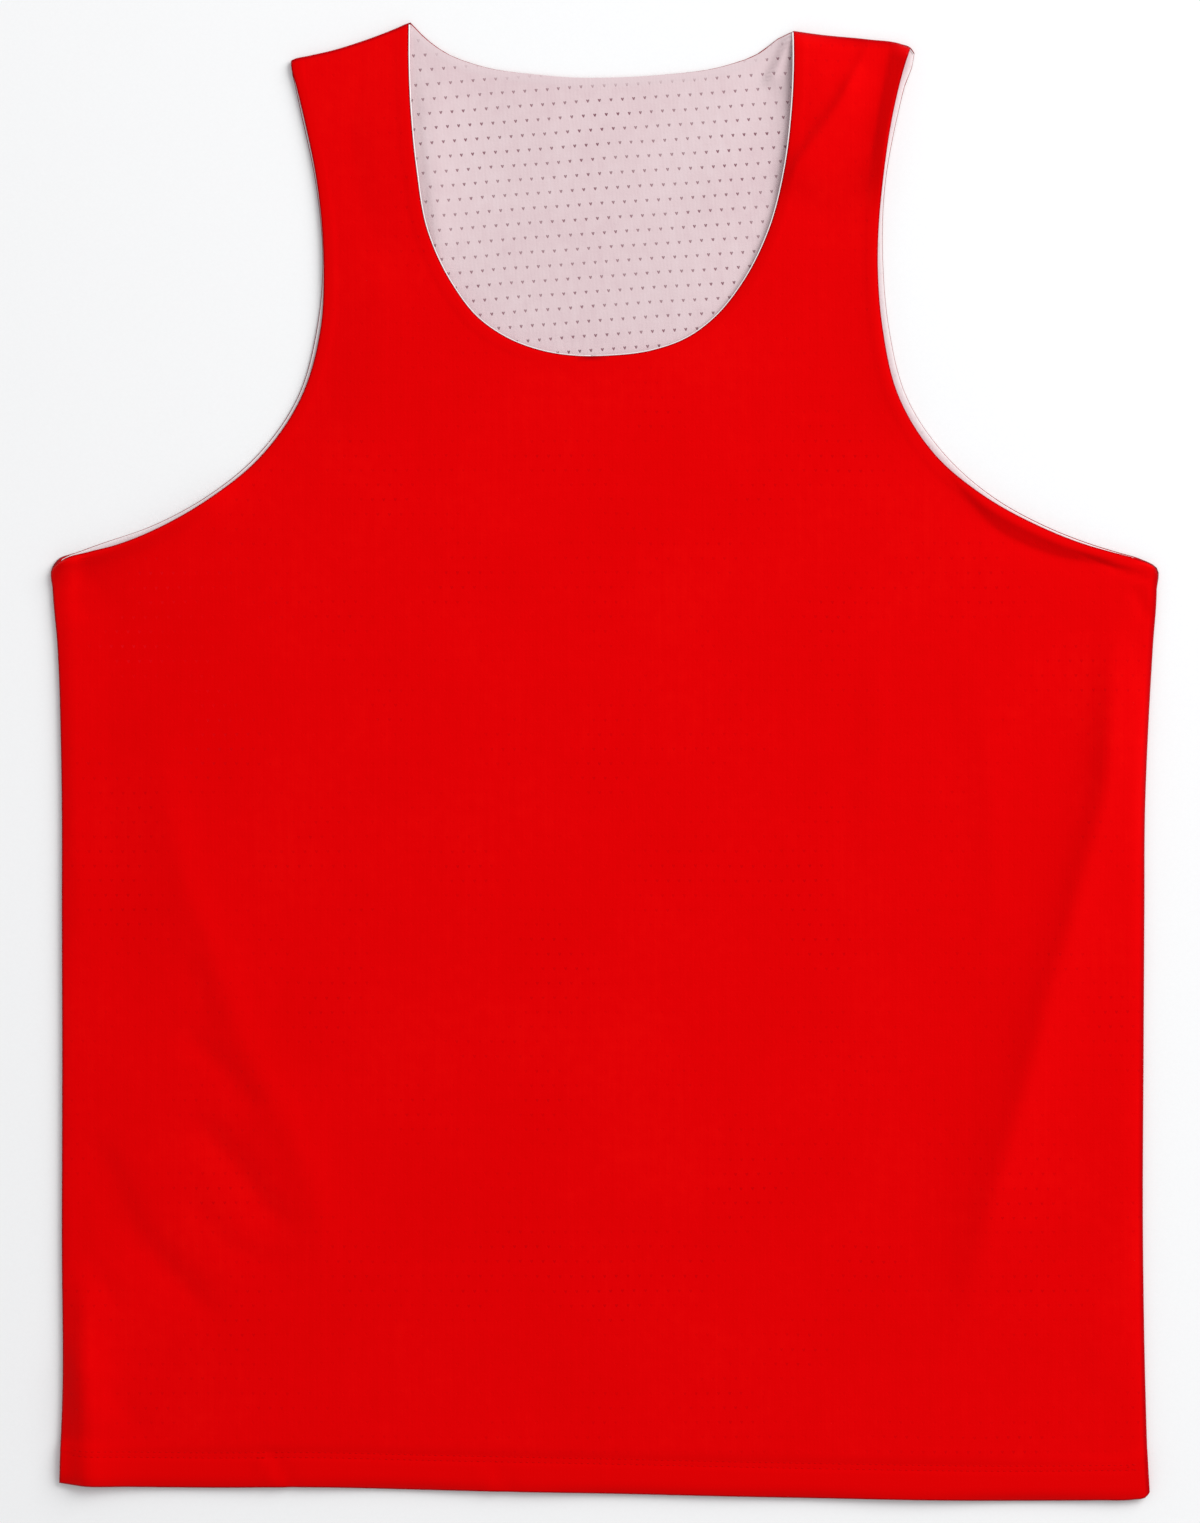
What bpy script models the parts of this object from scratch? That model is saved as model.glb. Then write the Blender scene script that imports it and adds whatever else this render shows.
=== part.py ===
# Basketball jersey, laid out flat and face up: a reversible vest of two knit
# shells, one inside the other, each a front and a back panel.
# X runs across, Y from the hem to the neck, Z up from the surface it lies on.
# The origin is on that surface, under the middle of the garment.

import bpy
import numpy as np

MM = 0.001

# Driving dimensions, in millimetres
BODY_LENGTH = 750.0  # lowest point of the hem to the higher neck point
CLOTH = 1.0  # wall of one knit panel, with the loft of its loops
LAYER_GAP = 0.3  # between panels that lie on each other, and at seams
AIR = 2.0  # how far the front floats off the back between its folds
HEM_DEPTH = 17.5  # hem edge to the line where its turned ply ends
HEM_PLY = 0.5  # what that ply adds to a panel's wall
HEM_FADE = 5.5  # length of the slope from hem to single cloth
INNER_HEM = 6.0  # the inner panels end this far above the outer hem
NECK_REVEAL = 1.0  # the inner front shows this far past the outer neck edge
EDGE_SETBACK = 1.0  # the inner back ends this far inside the outer back

STACK = 4 * CLOTH + 3 * LAYER_GAP  # four panels lying on each other
ROLL = STACK / 2  # the outer shell bends round the inner one at its seams
ROLL_END = 40.0  # the roll fades this far along the armhole from the seam
SEAM_CALM = 22.0  # folds die out this close to a seam
HEM_CALM = 55.0  # and this close to the hem

# Section across a seam roll, in shares of its radius: in from the edge, drop
ROLL_SECTION = (
    (0.00, 1.00 - LAYER_GAP / STACK),
    (0.00, 0.65),
    (0.29, 0.29),
    (1.00, 0.00),
    (1.45, 0.00),
)

# Outline, in millimetres: "across" from the centre line, "up" from the hem

HEM = (
    # across, up
    (-275.5, 9.5),
    (-200.0, 7.0),
    (-80.0, 5.2),
    (0.0, 3.5),
    (110.0, 1.5),
    (205.0, 0.1),
    (250.0, 0.3),
    (271.0, 1.2),
    (275.5, 4.0),
)
HEM_CENTRE = 3  # row of HEM on the centre line

SIDE_SEAM = (
    # up, left, right
    (50.0, -274.2, 273.5),
    (130.0, -274.7, 272.2),
    (300.0, -274.7, 273.2),
    (385.0, -275.0, 274.6),
    (435.0, -277.1, 277.5),
    (462.0, -279.6, 279.6),
)

ARMHOLE = (
    # up, left front, left back, right front, right back
    (473.0, -280.0, -280.2, 279.6, 280.2),
    (478.0, -272.0, -277.5, 269.5, 272.0),
    (485.0, -247.0, -257.0, 244.0, 248.5),
    (495.0, -222.8, -229.0, 218.9, 223.0),
    (510.0, -197.8, -201.3, 191.8, 196.3),
    (530.0, -174.2, -176.7, 168.0, 173.5),
    (560.0, -153.7, -155.6, 149.0, 153.3),
    (595.0, -143.9, -145.9, 140.8, 144.3),
    (625.0, -142.4, -143.0, 138.4, 141.4),
    (665.0, -145.3, -146.0, 140.4, 142.1),
    (705.0, -153.2, -154.2, 146.5, 148.8),
)

SHOULDER_LEFT = (
    # across, up, from the armhole to the neck point
    (-159.5, 730.0),
    (-151.0, 732.5),
    (-138.9, 735.6),
    (-122.6, 740.6),
    (-106.4, 746.7),
    (-98.3, 750.0),
)

SHOULDER_RIGHT = (
    # across, up, from the armhole to the neck point
    (157.2, 734.4),
    (155.2, 737.2),
    (150.0, 739.2),
    (133.8, 741.4),
    (109.5, 743.8),
    (95.8, 745.7),
)

FRONT_NECK = (
    # up, left, right
    (580.5, -7.0, -7.0),
    (583.5, -32.4, 24.0),
    (590.0, -49.6, 41.9),
    (600.0, -64.0, 55.5),
    (618.0, -77.8, 70.0),
    (645.0, -90.0, 83.4),
    (675.0, -95.7, 91.2),
    (705.0, -98.9, 95.0),
    (730.0, -99.8, 96.1),
)

BACK_NECK = (
    # up, left, right
    (722.0, -7.0, -7.0),
    (723.5, -32.4, 28.4),
    (728.0, -62.8, 60.5),
    (735.0, -81.0, 79.0),
    (742.0, -90.5, 88.0),
)

# Rows of the cloth from the hem up.  A zone ends at a height on the outer
# edge and at one on the centre line or neck, and holds some rows.
FRONT_ZONES = (
    # zone, outer edge up to, centre up to, rows
    ("body", 463.0, 466.0, 13),
    ("armpit", 480.0, 484.0, 4),
    ("chest", 575.0, 580.5, 6),
    ("strap", None, None, 8),
)
BACK_ZONES = (
    ("body", 463.0, 466.0, 6),
    ("armpit", 480.0, 484.0, 4),
    ("chest", 650.0, 722.0, 9),
    ("strap", None, None, 6),
)

# Columns from a seam's roll to the centre line, as shares of the way
FRONT_COLUMNS = (0.035, 0.075, 0.115, 0.155, 0.195, 0.235, 0.28, 0.34, 0.43, 0.57, 0.76, 1.0)
BACK_COLUMNS = (0.07, 0.25, 0.5, 0.75, 1.0)

# The front's large folds, in millimetres: a ridge stands up, a trough sinks
FOLDS = (
    # name, height, half width, path as (across, up)
    ("right side ridge", 3.4, 13.0, ((270, 452), (259, 376), (247, 305), (227, 234), (199, 107))),
    ("right side trough", -1.8, 9.0, ((255, 457), (242, 376), (229, 305), (209, 234), (181, 107))),
    ("right armpit swell", 2.6, 15.0, ((196, 483), (222, 470), (246, 459))),
    ("right armpit trough", -2.0, 7.0, ((186, 501), (210, 491), (231, 482), (264, 474))),
    ("right armhole edge", 1.2, 6.0, ((196, 511), (222, 497), (246, 488))),
    ("left side roll", 1.6, 11.0, ((-256, 470), (-256, 380), (-255, 280))),
    ("left armpit trough", -1.8, 8.0, ((-258, 476), (-228, 486), (-200, 501))),
    ("left flank ridge", 3.0, 15.0, ((-235, 380), (-222, 310), (-205, 250), (-178, 200), (-146, 158))),
    ("left flank trough", -1.9, 9.0, ((-212, 280), (-184, 216), (-160, 176))),
    ("left hip ridge", 2.0, 12.0, ((-252, 205), (-225, 165), (-190, 133), (-140, 112))),
    ("left hip trough", -1.9, 9.0, ((-255, 173), (-235, 138), (-200, 107), (-144, 87))),
    ("right strap trough", -1.6, 7.0, ((127, 724), (112, 702), (97, 678))),
    ("left strap swell", 1.4, 12.0, ((-138, 706), (-130, 650), (-131, 600))),
)
FOLD_FADE = 0.25  # share of a fold's length over which each end dies away
FOLD_END = 0.25  # share of its height that is left at its very end

# Colour, roughness and metallic value of each panel's cloth
RED = ((0.74, 0.0, 0.001, 1.0), 0.86, 0.0)
DEEP_RED = ((0.66, 0.0, 0.001, 1.0), 0.88, 0.0)
WHITE = ((0.86, 0.82, 0.83, 1.0), 0.84, 0.0)
SHADED_WHITE = ((0.80, 0.78, 0.78, 1.0), 0.86, 0.0)

CURVE_STEPS = 24  # points of a smooth curve between two rows of its table
LEAST_SLANT = 0.3  # keeps the edge columns apart where rows graze the edge


def ease(value):
    """0 below 0, 1 above 1, and a smooth step between."""
    t = np.clip(value, 0.0, 1.0)
    return t * t * (3.0 - 2.0 * t)


def smooth_curve(points):
    """A dense line through the points, turning evenly at each."""
    points = np.array(points, float)
    chord = np.diff(points, axis=0)
    gap = np.linalg.norm(chord, axis=1)[:, None]
    slope = chord / gap
    share = gap[:-1] / (gap[:-1] + gap[1:])
    tangent = np.vstack([slope[:1], slope[:-1] * (1 - share) + slope[1:] * share, slope[-1:]])
    t = np.linspace(0.0, 1.0, CURVE_STEPS, endpoint=False)[None, :, None]
    start, end = points[:-1, None], points[1:, None]
    leave, arrive = tangent[:-1, None] * gap[:, None], tangent[1:, None] * gap[:, None]
    line = (
        start * (2 * t**3 - 3 * t**2 + 1)
        + leave * (t**3 - 2 * t**2 + t)
        + end * (3 * t**2 - 2 * t**3)
        + arrive * (t**3 - t**2)
    )
    return np.vstack([line.reshape(-1, 2), points[-1:]])


def lengths(line):
    """Distance along the line at each of its points."""
    return np.concatenate([[0.0], np.cumsum(np.linalg.norm(np.diff(line, axis=0), axis=1))])


def along(line, distance):
    """The points of a line at these distances along it."""
    run = lengths(line)
    return np.stack([np.interp(distance, run, line[:, k]) for k in (0, 1)], axis=-1)


def distance_at(line, up):
    """How far along a rising line a height lies."""
    return float(np.interp(up, line[:, 1], lengths(line)))


def table_side(table, column):
    """(across, up) of one column of a table whose first column is up."""
    return [(row[column], row[0]) for row in table]


def outline(right, back):
    """The four edges of one half of a panel, each as a smooth line."""
    shoulder = SHOULDER_RIGHT if right else SHOULDER_LEFT
    hem = HEM[: HEM_CENTRE - 1 : -1] if right else HEM[: HEM_CENTRE + 1]
    side = table_side(SIDE_SEAM, 1 + right)
    armhole = table_side(ARMHOLE, 1 + 2 * right + back)
    neck = table_side(BACK_NECK if back else FRONT_NECK, 1 + right) + [shoulder[-1]]
    centre = np.linspace(hem[-1], neck[0], CURVE_STEPS, endpoint=False)
    return {
        "hem": smooth_curve(hem),
        "outer": smooth_curve([hem[0]] + side + armhole + [shoulder[0]]),
        "shoulder": smooth_curve(shoulder),
        "inner": np.vstack([centre, smooth_curve(neck)]),
    }


def row_stations(edges, zones):
    """Where each row starts along the outer edge and ends along the inner one."""
    hem_rows = (0.0, INNER_HEM, HEM_DEPTH, HEM_DEPTH + HEM_FADE / 2, HEM_DEPTH + HEM_FADE)
    roll = ROLL * np.array([share for share, drop in ROLL_SECTION[::-1]])
    stations = []
    for edge, column in ((edges["outer"], 1), (edges["inner"], 2)):
        end = lengths(edge)[-1]
        rows = list(hem_rows)
        for zone in zones:
            stop = end - roll[0] if zone[column] is None else distance_at(edge, zone[column])
            rows.extend(np.linspace(rows[-1], stop, zone[3] + 1)[1:])
        stations.append(np.append(rows, end - roll[1:]))
    return stations


def slant(line, distance, inner):
    """Sine of the angle at which each row leaves the outer edge for the inner one."""
    edge = along(line, distance + 1.0) - along(line, distance - 1.0)
    row = inner - along(line, distance)
    cross = edge[:, 0] * row[:, 1] - edge[:, 1] * row[:, 0]
    sine = abs(cross) / np.linalg.norm(edge, axis=1) / np.linalg.norm(row, axis=1)
    return np.maximum(sine, LEAST_SLANT)


def half_grid(right, back):
    """Rows and columns of points across half a panel, from its outer edge in.

    Beside the points in plan it gives what their heights need: drop, the share
    of a seam roll that they go down, calm, how much of the folds they keep, and
    hem, their share of the hem's second ply.
    """
    edges = outline(right, back)
    zones, columns = (BACK_ZONES, BACK_COLUMNS) if back else (FRONT_ZONES, FRONT_COLUMNS)
    s_outer, s_inner = row_stations(edges, zones)
    outer, inner = along(edges["outer"], s_outer), along(edges["inner"], s_inner)
    width = np.linalg.norm(inner - outer, axis=1)[:, None]

    # Columns: those of the roll or the free edge, then the rest of the way in
    seam_end = distance_at(edges["outer"], ARMHOLE[0][0])
    rolled = 1.0 - ease((s_outer - seam_end) / ROLL_END)[:, None]
    share, drop = np.array(ROLL_SECTION).T
    free = np.linspace(0.0, EDGE_SETBACK, len(share))
    edge = share * ROLL * rolled + free * (1.0 - rolled)
    edge = edge / slant(edges["outer"], s_outer, inner)[:, None]
    rest = edge[:, -1:] + (width - edge[:, -1:]) * np.array(columns)
    inward = np.hstack([edge, rest])

    # Plan: the blend of the four edges
    u = inward / width
    v = ((s_outer / s_outer[-1] + s_inner / s_inner[-1]) / 2)[:, None, None]
    hem = along(edges["hem"], u * lengths(edges["hem"])[-1])
    shoulder = along(edges["shoulder"], u * lengths(edges["shoulder"])[-1])
    u = u[..., None]
    across = (1 - u) * outer[:, None] + u * inner[:, None]
    upward = (1 - v) * hem + v * shoulder
    low_corners = (1 - v) * ((1 - u) * outer[0] + u * inner[0])
    high_corners = v * ((1 - u) * outer[-1] + u * inner[-1])

    below = s_outer[-1] - s_outer
    side_drop = np.hstack([drop * rolled, np.zeros_like(rest)])
    top_drop = np.append(np.zeros(len(below) - len(drop)), drop[::-1])[:, None]
    calm = 1.0 - rolled * (1.0 - ease((inward - ROLL) / SEAM_CALM))
    calm *= ease((below - ROLL) / SEAM_CALM)[:, None] * ease(s_inner / HEM_CALM)[:, None]
    ply = 1.0 - np.clip((s_inner - HEM_DEPTH) / HEM_FADE, 0.0, 1.0)[:, None]
    return {
        "plan": across + upward - low_corners - high_corners,
        "drop": np.maximum(side_drop, top_drop),
        "calm": calm,
        "hem": np.broadcast_to(ply, inward.shape),
    }


def neck_row(zones):
    """The row whose inner end is the lowest point of the neck edge."""
    return len(ROLL_SECTION) - 1 + sum(zone[3] for zone in zones[:-1])


def fold_height(plan):
    """How far the front stands off the back, from its air and its folds."""
    height = np.full(plan.shape[:-1], AIR)
    for name, rise, half_width, path in FOLDS:
        line = smooth_curve(path)
        run = lengths(line)
        away = np.linalg.norm(plan[..., None, :] - line, axis=-1)
        place = run[away.argmin(axis=-1)] / run[-1]
        fade = ease(place / FOLD_FADE) * ease((1.0 - place) / FOLD_FADE)
        fade = FOLD_END + (1.0 - FOLD_END) * fade
        height += rise * fade * np.exp(-((away.min(axis=-1) / half_width) ** 2))
    return np.maximum(height, 0.0)


def surface_points(grids, back):
    """The outside of an outer panel, as (half, row, column, xyz) in millimetres."""
    plan, drop, calm, hem = (
        np.stack([grid[key] for grid in grids]) for key in ("plan", "drop", "calm", "hem")
    )
    middle = ROLL + 2 * HEM_PLY * hem
    if back:
        level = drop * middle
    else:
        top = STACK + 4 * HEM_PLY * hem
        level = top + fold_height(plan) * calm - drop * (top - middle)
    return np.concatenate([plan, level[..., None]], axis=-1), hem


def panel_faces(shape, open_from, rows, columns, back):
    """Faces of both halves, which share their centre points up to the neck."""
    index = np.arange(np.prod(shape)).reshape(shape)
    index[1, : open_from + 1, -1] = index[0, : open_from + 1, -1]
    faces = []
    for half, turn in zip(index, (1, -1)):
        part = half[rows, columns]
        quads = np.stack([part[:-1, :-1], part[:-1, 1:], part[1:, 1:], part[1:, :-1]], axis=-1)
        faces.append(quads.reshape(-1, 4)[:, :: -turn if back else turn])
    return np.concatenate(faces)


def point_normals(points, faces):
    """Unit normal of each point, from the faces around it."""
    flat = points.reshape(-1, 3)
    corner = flat[faces]
    face_normal = np.cross(corner[:, 2] - corner[:, 0], corner[:, 3] - corner[:, 1])
    normal = np.zeros_like(flat)
    for k in range(4):
        np.add.at(normal, faces[:, k], face_normal)
    size = np.linalg.norm(normal, axis=1, keepdims=True)
    return (normal / np.where(size > 0.0, size, 1.0)).reshape(points.shape)


def shift_neck(points, open_from, reveal):
    """Moves a panel's neck edge into the neck by reveal, or back if negative."""
    for half, turn in zip(points, (1.0, -1.0)):
        edge = half[open_from:, -1, :2]
        way = np.gradient(edge, axis=0)
        way /= np.linalg.norm(way, axis=1, keepdims=True)
        edge += reveal * turn * np.stack([way[:, 1], -way[:, 0]], axis=1)


def cloth_material(name, look):
    colour, roughness, metallic = look
    material = bpy.data.materials.new(name)
    material.use_nodes = True
    shader = material.node_tree.nodes["Principled BSDF"]
    shader.inputs["Base Color"].default_value = colour
    shader.inputs["Roughness"].default_value = roughness
    shader.inputs["Metallic"].default_value = metallic
    material.diffuse_color = colour
    return material


def add_panel(name, collection, points, faces, hem, look):
    """A panel from its outer surface, with its wall on the inside of it."""
    used, faces = np.unique(faces, return_inverse=True)
    placed = (points.reshape(-1, 3)[used] - [0.0, BODY_LENGTH / 2, 0.0]) * MM
    mesh = bpy.data.meshes.new(name)
    mesh.from_pydata(placed.tolist(), [], faces.reshape(-1, 4).tolist())
    mesh.shade_smooth()
    mesh.materials.append(cloth_material(name + "_cloth", look))
    panel = bpy.data.objects.new(name, mesh)
    collection.objects.link(panel)

    group = panel.vertex_groups.new(name="hem")
    for number, ply in enumerate(hem.reshape(-1)[used]):
        group.add([number], float(ply), "REPLACE")
    wall = panel.modifiers.new("wall", "SOLIDIFY")
    wall.thickness = (CLOTH + HEM_PLY) * MM
    wall.offset = -1.0
    wall.vertex_group = group.name
    wall.thickness_vertex_group = CLOTH / (CLOTH + HEM_PLY)


def add_shells(collection, back, outer_look, inner_look):
    """The outer and the inner panel of the front or the back.

    The inner one is made from the outer one's points, moved in by a wall and a
    gap. It stops short of the seam rolls and of the outer hem.
    """
    side = "back" if back else "front"
    open_from = neck_row(BACK_ZONES if back else FRONT_ZONES)
    points, hem = surface_points([half_grid(False, back), half_grid(True, back)], back)
    faces = panel_faces(hem.shape, open_from, slice(None), slice(None), back)
    add_panel(side + "_outer", collection, points, faces, hem, outer_look)

    inward = CLOTH + LAYER_GAP + HEM_PLY * hem
    points = points - point_normals(points, faces) * inward[..., None]
    shift_neck(points, open_from, -EDGE_SETBACK if back else NECK_REVEAL)
    short = len(ROLL_SECTION) - 1
    faces = panel_faces(hem.shape, open_from, slice(1, -short), slice(short, None), back)
    add_panel(side + "_inner", collection, points, faces, hem, inner_look)


def clear_scene():
    for item in list(bpy.data.objects):
        bpy.data.objects.remove(item, do_unlink=True)


def build():
    clear_scene()
    jersey = bpy.data.collections.new("basketball_jersey")
    bpy.context.scene.collection.children.link(jersey)
    add_shells(jersey, False, RED, WHITE)
    add_shells(jersey, True, DEEP_RED, SHADED_WHITE)


build()
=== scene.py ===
import math

import bpy
import numpy as np
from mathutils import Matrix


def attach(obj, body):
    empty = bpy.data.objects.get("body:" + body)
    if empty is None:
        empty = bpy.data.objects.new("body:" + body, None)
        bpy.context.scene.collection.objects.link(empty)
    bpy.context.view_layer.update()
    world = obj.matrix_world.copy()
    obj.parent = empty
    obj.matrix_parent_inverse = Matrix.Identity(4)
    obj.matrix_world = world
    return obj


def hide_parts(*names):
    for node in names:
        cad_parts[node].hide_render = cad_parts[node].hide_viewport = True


# A reversible basketball jersey laid out flat: a red mesh shell over a white one,
# each a front and a back panel.  X runs across, Y from the hem to the neck, Z up.
# Shapes are worked out in millimetres, "across" from the centre line and "up" from
# the hem's lowest point, and are put into the frame's metres by placed().

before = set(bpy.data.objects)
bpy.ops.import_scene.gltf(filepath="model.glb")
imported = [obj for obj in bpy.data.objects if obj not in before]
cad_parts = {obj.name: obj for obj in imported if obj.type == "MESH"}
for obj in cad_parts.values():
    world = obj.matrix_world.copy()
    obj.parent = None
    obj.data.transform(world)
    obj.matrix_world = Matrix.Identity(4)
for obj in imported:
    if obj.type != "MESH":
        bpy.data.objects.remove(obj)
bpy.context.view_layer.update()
millimetre = 0.001

# Sizes that all the panels share
garment = {
    "bodyLength": 750.0,     # hem's lowest point to the higher neck point
    "wall": 0.62,            # one knit panel
    "layerGap": 0.16,        # between panels that lie on each other, where they are level
    "seamGap": 0.16,         # left open where front and back are sewn together
    "air": 2.0,              # the front floats this far off the back
    "hemDepth": 17.5,        # hem edge to the end of its turned ply
    "hemPly": 0.4,           # what that ply adds to each panel
    "hemFade": 5.5,          # slope from hem to single cloth
    "innerHem": 6.0,         # the white shell ends this far above the red hem
    "rollEnd": 14.0,         # the seam roll fades this far along the armhole
    "rollSteps": 9,          # points of its quarter circle
    "rollReach": 1.45,       # its last column lies this many radii in
    "leastSlant": 0.3,       # rows that leave an edge at a smaller sine are taken as at this one
}
step = garment["wall"] + garment["layerGap"]
stack = 4 * step - garment["layerGap"]
roll = stack / 2             # the red shell bends round the white one at its seams

# The cut's outline

hemLine = (                  # across, up
    (-276.4, 9.6), (-265, 8.3), (-240, 7.7), (-200, 7.2), (-150, 7.4),
    (-90, 6), (0, 4.2), (110, 1.8), (205, 0.5), (250, 0.8),
    (268, 1.2), (274.2, 2.3), (276.4, 5),
)
hemCentre = 6                # row of hemLine on the centre line

sideSeam = (                 # up, left, right
    (25, -276, 275.3), (50, -275, 274.5), (130, -275.2, 273.1),
    (230, -275, 273.4), (300, -275.2, 273.8), (350, -275.2, 274.1),
    (385, -275.7, 275.4), (435, -277.5, 278.2), (462, -279.8, 280),
)

armhole = (                  # up, left front, left back, right front, right back
    (473, -280.1, -280.3, 279.7, 280.4), (478, -273.4, -277, 269.5, 272),
    (481, -263.2, -268.6, 258.4, 261.8), (485, -247, -257.6, 244, 248.5),
    (495, -222.8, -229, 218.9, 223), (510, -197.8, -201.3, 191.8, 196.3),
    (530, -174.2, -176.7, 168, 173.5), (560, -153.7, -155.6, 149, 153.3),
    (595, -143.9, -145.9, 140.8, 144.3), (625, -142.4, -143, 138.4, 141.4),
    (665, -145.3, -146, 140.4, 142.1), (705, -153.2, -154.2, 146.3, 149.2),
    (718, -156.4, -157, 149.3, 152.4), (727.5, -158.8, -158.9, 151.9, 156),
)

shoulderLeft = (             # across, up
    (-158.9, 730.6), (-157.4, 731.4), (-151, 732.9), (-138.9, 735.6),
    (-122.6, 740.6), (-106.4, 746.7), (-99.4, 749.7), (-98.3, 750),
)

shoulderRight = (            # across, up
    (157.2, 734.4), (155.2, 737.2), (150, 739.2),
    (133.8, 741.4), (109.5, 743.8), (95.8, 745.7),
)

frontNeck = (                # up, left, right
    (580.5, -7, -7), (580.7, -14, 0), (583.5, -32.4, 24),
    (590, -49.6, 41.9), (600, -64, 55.5), (618, -77.8, 70),
    (645, -90, 83.4), (675, -95.3, 91.1), (705, -98.3, 94.8),
    (730, -99.4, 95.9),
)

backNeck = (                 # up, left, right
    (722, -7, -7), (722.1, -14, 0), (723.5, -32.4, 28.4),
    (728, -62.8, 60.5), (735, -81, 79), (742, -90.5, 88),
)

# Folds, in millimetres: rise (a trough's is negative), crest radius, two flanks, path.
# For a path that runs down the cloth they are its left and its right flank, and for one
# that runs to the right its lower and its upper one.  A pair is the flank's width at
# the start and at the end of the path.
strapCrease = ((126, 722), (118.5, 708), (111, 697), (100.5, 682), (89, 660))
frontFolds = (
    # right side
    (4.7, 1.5, (7, 17), (18, 20), (
        (264, 466), (258, 436), (256, 399), (253, 360), (243, 322), (235, 290), (224, 255), (215, 218),
        (204, 180), (192, 140), (184, 104), (180, 70))),
    (0.4, 4, 12, 7, ((268, 440), (266, 380), (265, 300), (265, 240))),
    (0.6, 3, 12, 8, ((262, 250), (262, 178), (262, 112), (263, 40))),
    (0.4, 4, 6, 6, ((248, 107), (250, 82), (251, 54))),
    (1.8, 1, (6, 3), 14, (
        (165, 530), (191, 506), (208, 496), (225, 488), (241, 482), (256, 478), (270, 474.5))),
    (-1.2, 0.8, 9, (4, 3), (
        (165, 532), (186, 506), (197, 494), (212, 485.5), (230, 479), (241, 476.8), (251, 474),
        (263, 470.5), (270, 469))),
    (-0.85, 0.5, 1.4, 1.3, (
        (236, 482), (251, 476.2), (263, 471.9), (270, 469.8), (277, 467.4), (290, 463))),
    (-0.9, 0.9, 1.8, 2, ((269, 465), (270.5, 459), (273, 453), (275, 446))),
    (-0.4, 1.5, 2.5, 2.5, ((270, 442), (271, 425), (271, 405))),
    (-0.3, 3, 5, 5, ((126, 450), (125, 376), (123, 295))),
    (0.25, 3, 5, 6, ((135, 445), (135, 376), (133, 305))),
    (0.5, 3, 9, 7, ((190, 415), (197, 345), (199, 275))),
    (-0.3, 3, 6, 6, ((174, 430), (179, 355), (183, 280))),
    # left side
    (0.5, 2, 3.5, 6, ((-272, 530), (-272, 470), (-271, 420), (-270, 380), (-268, 330), (-266, 260))),
    (-1.9, 1.2, 5.5, 12, (
        (-262, 515), (-263, 497), (-263.7, 480), (-264.3, 468), (-263.5, 456), (-261, 442))),
    (-0.6, 7, 8, 50, ((-250, 490), (-250, 400), (-246, 330), (-242, 220))),
    (1.5, 2, 17, 11, (
        (-230, 415), (-223, 382), (-218, 339), (-210, 306), (-199, 281), (-190, 253), (-177, 220),
        (-158, 185), (-147, 155), (-143, 130), (-141, 90))),
    (-0.5, 3, 5, 5, ((-214, 280), (-205, 256), (-196, 230))),
    (-1, 2.6, 7, 4.5, ((-217, 243), (-204, 231), (-193, 220), (-183, 208), (-173, 193))),
    (-1.3, 2.8, 9, 5, ((-211, 200), (-198, 184), (-189, 174), (-181, 163), (-171, 150), (-156, 133))),
    (-0.5, 2.6, 6, 4, ((-213, 166), (-203, 146), (-194, 134), (-182, 125), (-167, 122), (-152, 124))),
    (-1.6, 3, 13, 6, ((-262, 192), (-250, 163), (-240, 141), (-225, 122), (-210, 107), (-190, 86))),
    (-0.5, 2, 4, 4, ((-262, 124), (-254, 110), (-244, 97))),
    (-0.5, 2.5, 5, 4, ((-252, 60), (-241, 45), (-229, 31))),
    (2.5, 2.5, 5, 13, ((-265, 128), (-264, 102), (-263, 77), (-261, 40), (-260, 4), (-259, -40))),
    (3.6, 1, (7, 4.8), 12, (
        (-296, 467), (-270, 476), (-247, 483), (-224, 492.5), (-200, 507), (-180, 524))),
    # straps
    (1.3, 1.2, 3.2, (12, 28), ((148, 768), (137, 745)) + strapCrease),
    (1.8, 1.2, 3.2, (12, 28), ((131, 732),) + strapCrease),
    (5.4, 1, (4.6, 12), 7, (
        (160, 775), (155.5, 745), (153.4, 731), (148.6, 716), (145, 702), (142.5, 688), (139, 652))),
    (-1.2, 1.5, (16, 8), 3.5, (
        (148, 760), (144.5, 741), (142.5, 729), (139.8, 715), (137.8, 701), (135.5, 687), (133, 668))),
    (1.1, 2.5, 12, 6, (
        (142, 705), (139, 665), (137, 640), (136.5, 610), (139, 585), (146, 560), (164, 532))),
    (-1.1, 6, 12, 20, (
        (-136, 738), (-133, 718), (-132, 699), (-126, 680), (-122, 661), (-113, 636), (-102, 606))),
    (-0.6, 2.5, 5, 4, ((-149, 731), (-140, 725), (-131, 722))),
)

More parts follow.
